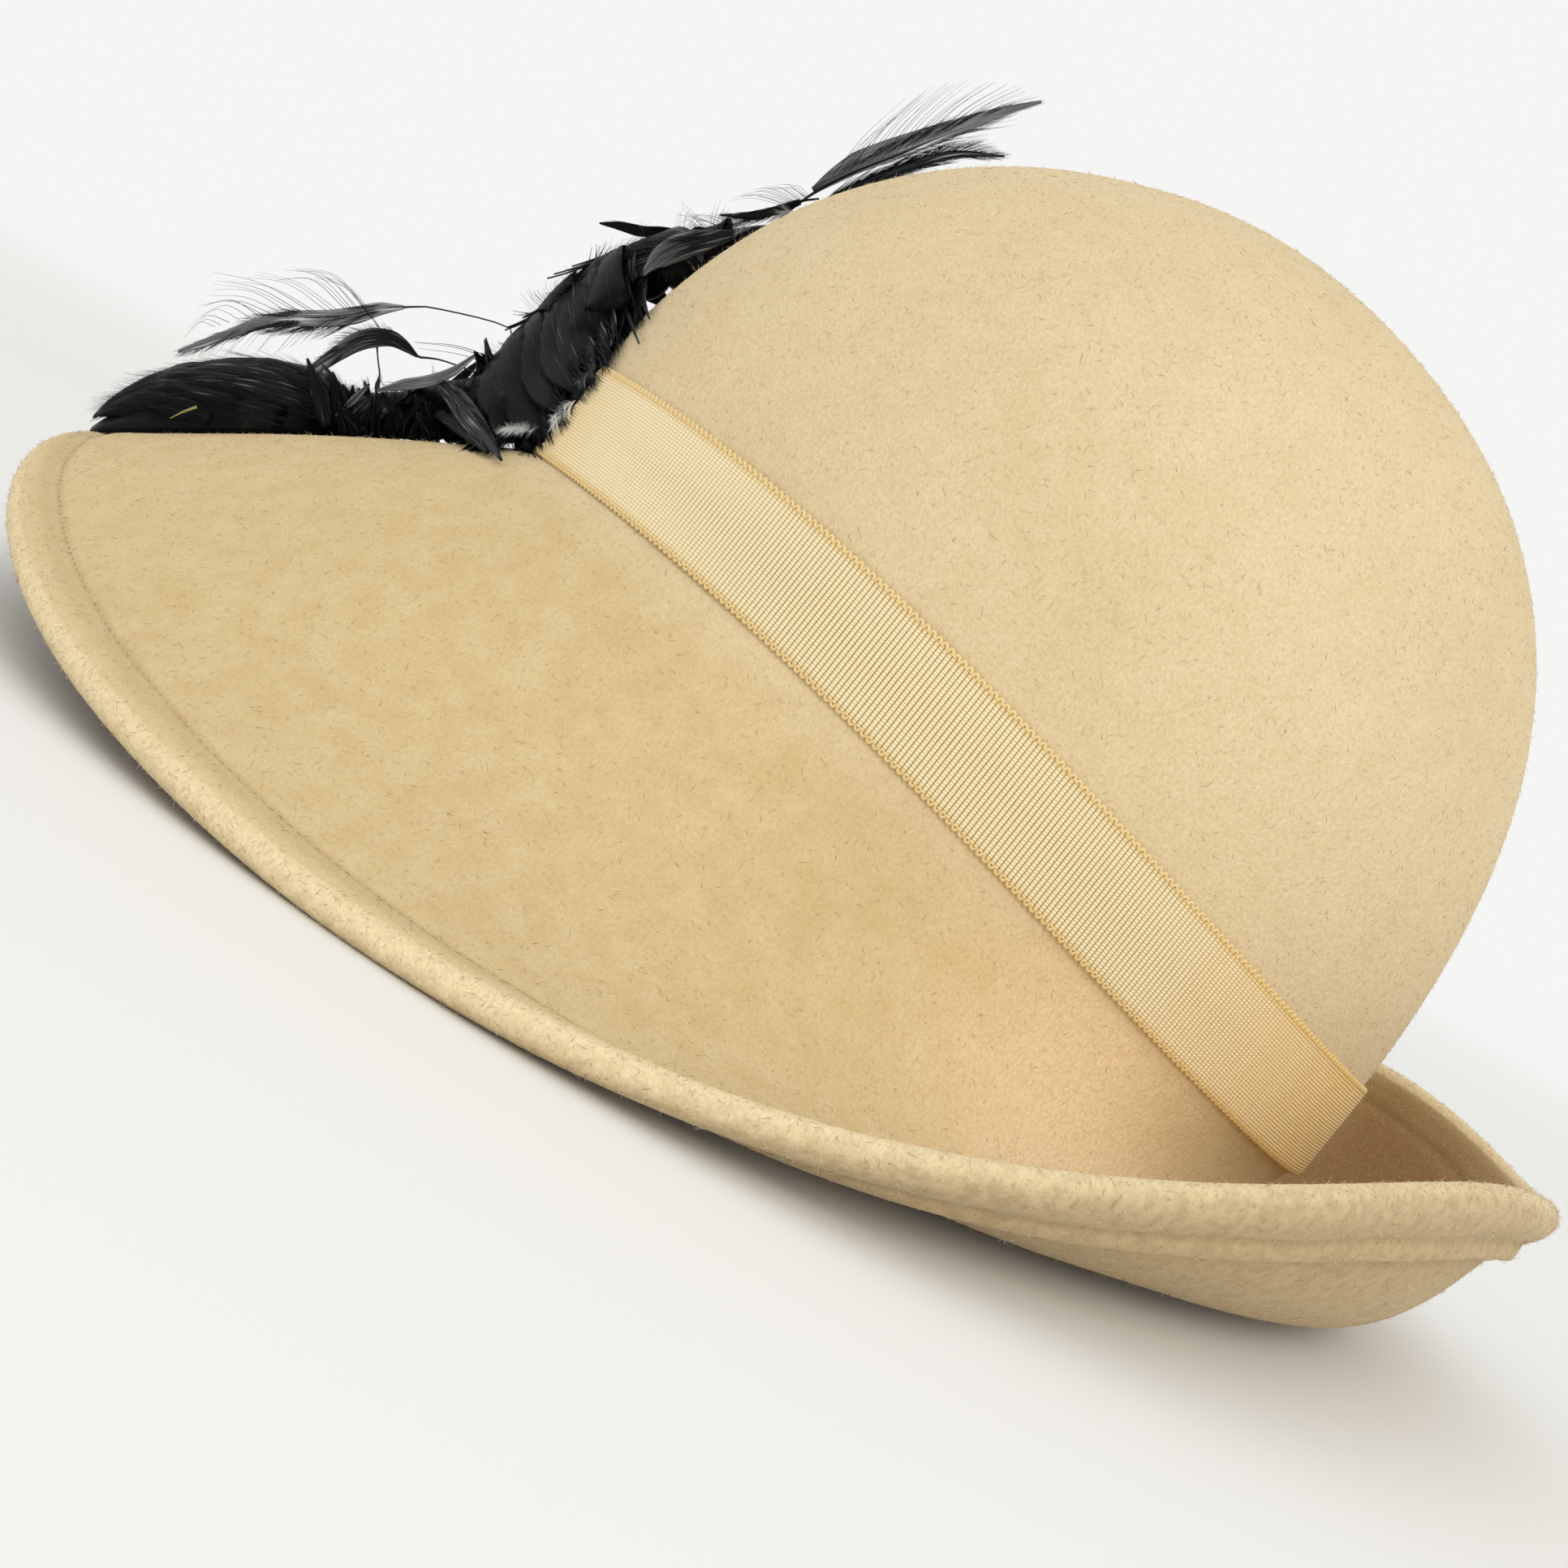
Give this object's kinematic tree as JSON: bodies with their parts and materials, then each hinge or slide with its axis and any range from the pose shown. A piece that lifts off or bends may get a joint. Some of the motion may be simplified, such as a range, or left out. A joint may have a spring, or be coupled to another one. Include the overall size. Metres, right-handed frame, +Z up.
{
  "type": "fedora",
  "caption": "Felt hat with a round crown, a brim that dips at the front and rolls up at the back, a ribbed ribbon band and dark feathers at the front.",
  "frame": {"origin": "on the surface that the hat rests on, below the middle of the whole object", "axes": "+X towards the wearer's left, -Y towards the front of the hat, +Z up; the crown's own axis leans back by 13.7 degrees, as the hat rests by itself on the sides and the back of its brim"},
  "size_m": [0.307, 0.3284, 0.1795],
  "materials": {
    "felt": "camel fur felt with a short brushed nap and fine lighter and darker fibres",
    "ribbon": "cream to honey petersham ribbon, fine crosswise ribs and a small scalloped edge, soft satin sheen",
    "feather": "near-black feathers with a blue-green sheen, grey downy ends and a few pale quills"
  },
  "bodies": {
    "root": {"felt_body": "felt", "ribbon_band": "ribbon", "feather_rope": "feather", "feather_fan": "feather", "long_hackle": "feather", "short_hackle": "feather", "top_plume": "feather", "low_plume": "feather", "crown_feather": "feather"}
  },
  "joints": []
}
